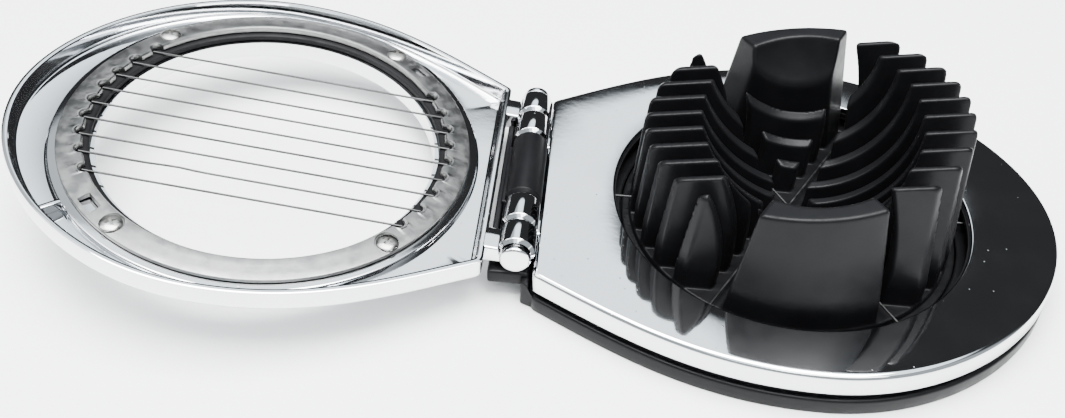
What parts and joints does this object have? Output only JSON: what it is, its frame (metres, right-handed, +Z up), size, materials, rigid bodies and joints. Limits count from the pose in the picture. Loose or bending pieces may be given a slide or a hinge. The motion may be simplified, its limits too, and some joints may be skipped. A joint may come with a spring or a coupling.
{
  "type": "egg slicer",
  "caption": "Hand egg slicer with a finned black cradle, a slicing wire frame folded back and a wedging wire frame closed over a teardrop base.",
  "frame": {"origin": "on the underside of the base, below the centre of the egg cradle", "axes": "+X from the hinge towards the free end, +Y to the back along the hinge pin, +Z up"},
  "size_m": [0.2313, 0.1006, 0.04],
  "materials": {
    "black_plastic": "black moulded plastic with a soft satin sheen",
    "dark_plastic": "dark matte moulded plastic",
    "chrome": "polished chrome plating on cast metal",
    "cast_ring": "satin grey die cast ring with bright edges",
    "wire_steel": "drawn stainless wire",
    "screw_steel": "zinc plated steel"
  },
  "bodies": {
    "base": {"base_body": "black_plastic", "egg_cradle": "black_plastic", "cradle_screw_1": "screw_steel", "cradle_screw_2": "screw_steel", "cradle_screw_3": "screw_steel", "cradle_screw_4": "screw_steel", "hinge_pin": "screw_steel", "pin_cap_back": "chrome", "pin_cap_front": "chrome"},
    "wedger": {"wedger_frame": "chrome", "wedger_wire_carrier": "dark_plastic", "wedger_clamp_ring": "cast_ring", "wedger_wire_1": "wire_steel", "wedger_wire_2": "wire_steel", "wedger_wire_3": "wire_steel", "wedger_ring_screw_1": "screw_steel", "wedger_ring_screw_2": "screw_steel", "wedger_ring_screw_3": "screw_steel", "wedger_ring_screw_4": "screw_steel"},
    "slicer": {"slicer_frame": "chrome", "slicer_wire_carrier": "dark_plastic", "slicer_clamp_ring": "cast_ring", "slicer_wire_1": "wire_steel", "slicer_wire_2": "wire_steel", "slicer_wire_3": "wire_steel", "slicer_wire_4": "wire_steel", "slicer_wire_5": "wire_steel", "slicer_wire_6": "wire_steel", "slicer_wire_7": "wire_steel", "slicer_wire_8": "wire_steel", "slicer_wire_9": "wire_steel", "slicer_ring_screw_1": "screw_steel", "slicer_ring_screw_2": "screw_steel", "slicer_ring_screw_3": "screw_steel", "slicer_ring_screw_4": "screw_steel"}
  },
  "joints": [
    {"name": "slicer_hinge", "type": "hinge", "parent": "base", "child": "slicer", "pos_m": [-0.0587, 0, 0.0123], "axis": [0, 1, 0], "range_deg": [0, 173.2]},
    {"name": "wedger_hinge", "type": "hinge", "parent": "base", "child": "wedger", "pos_m": [-0.0587, 0, 0.0123], "axis": [0, 1, 0], "range_deg": [-173.2, 0]}
  ]
}
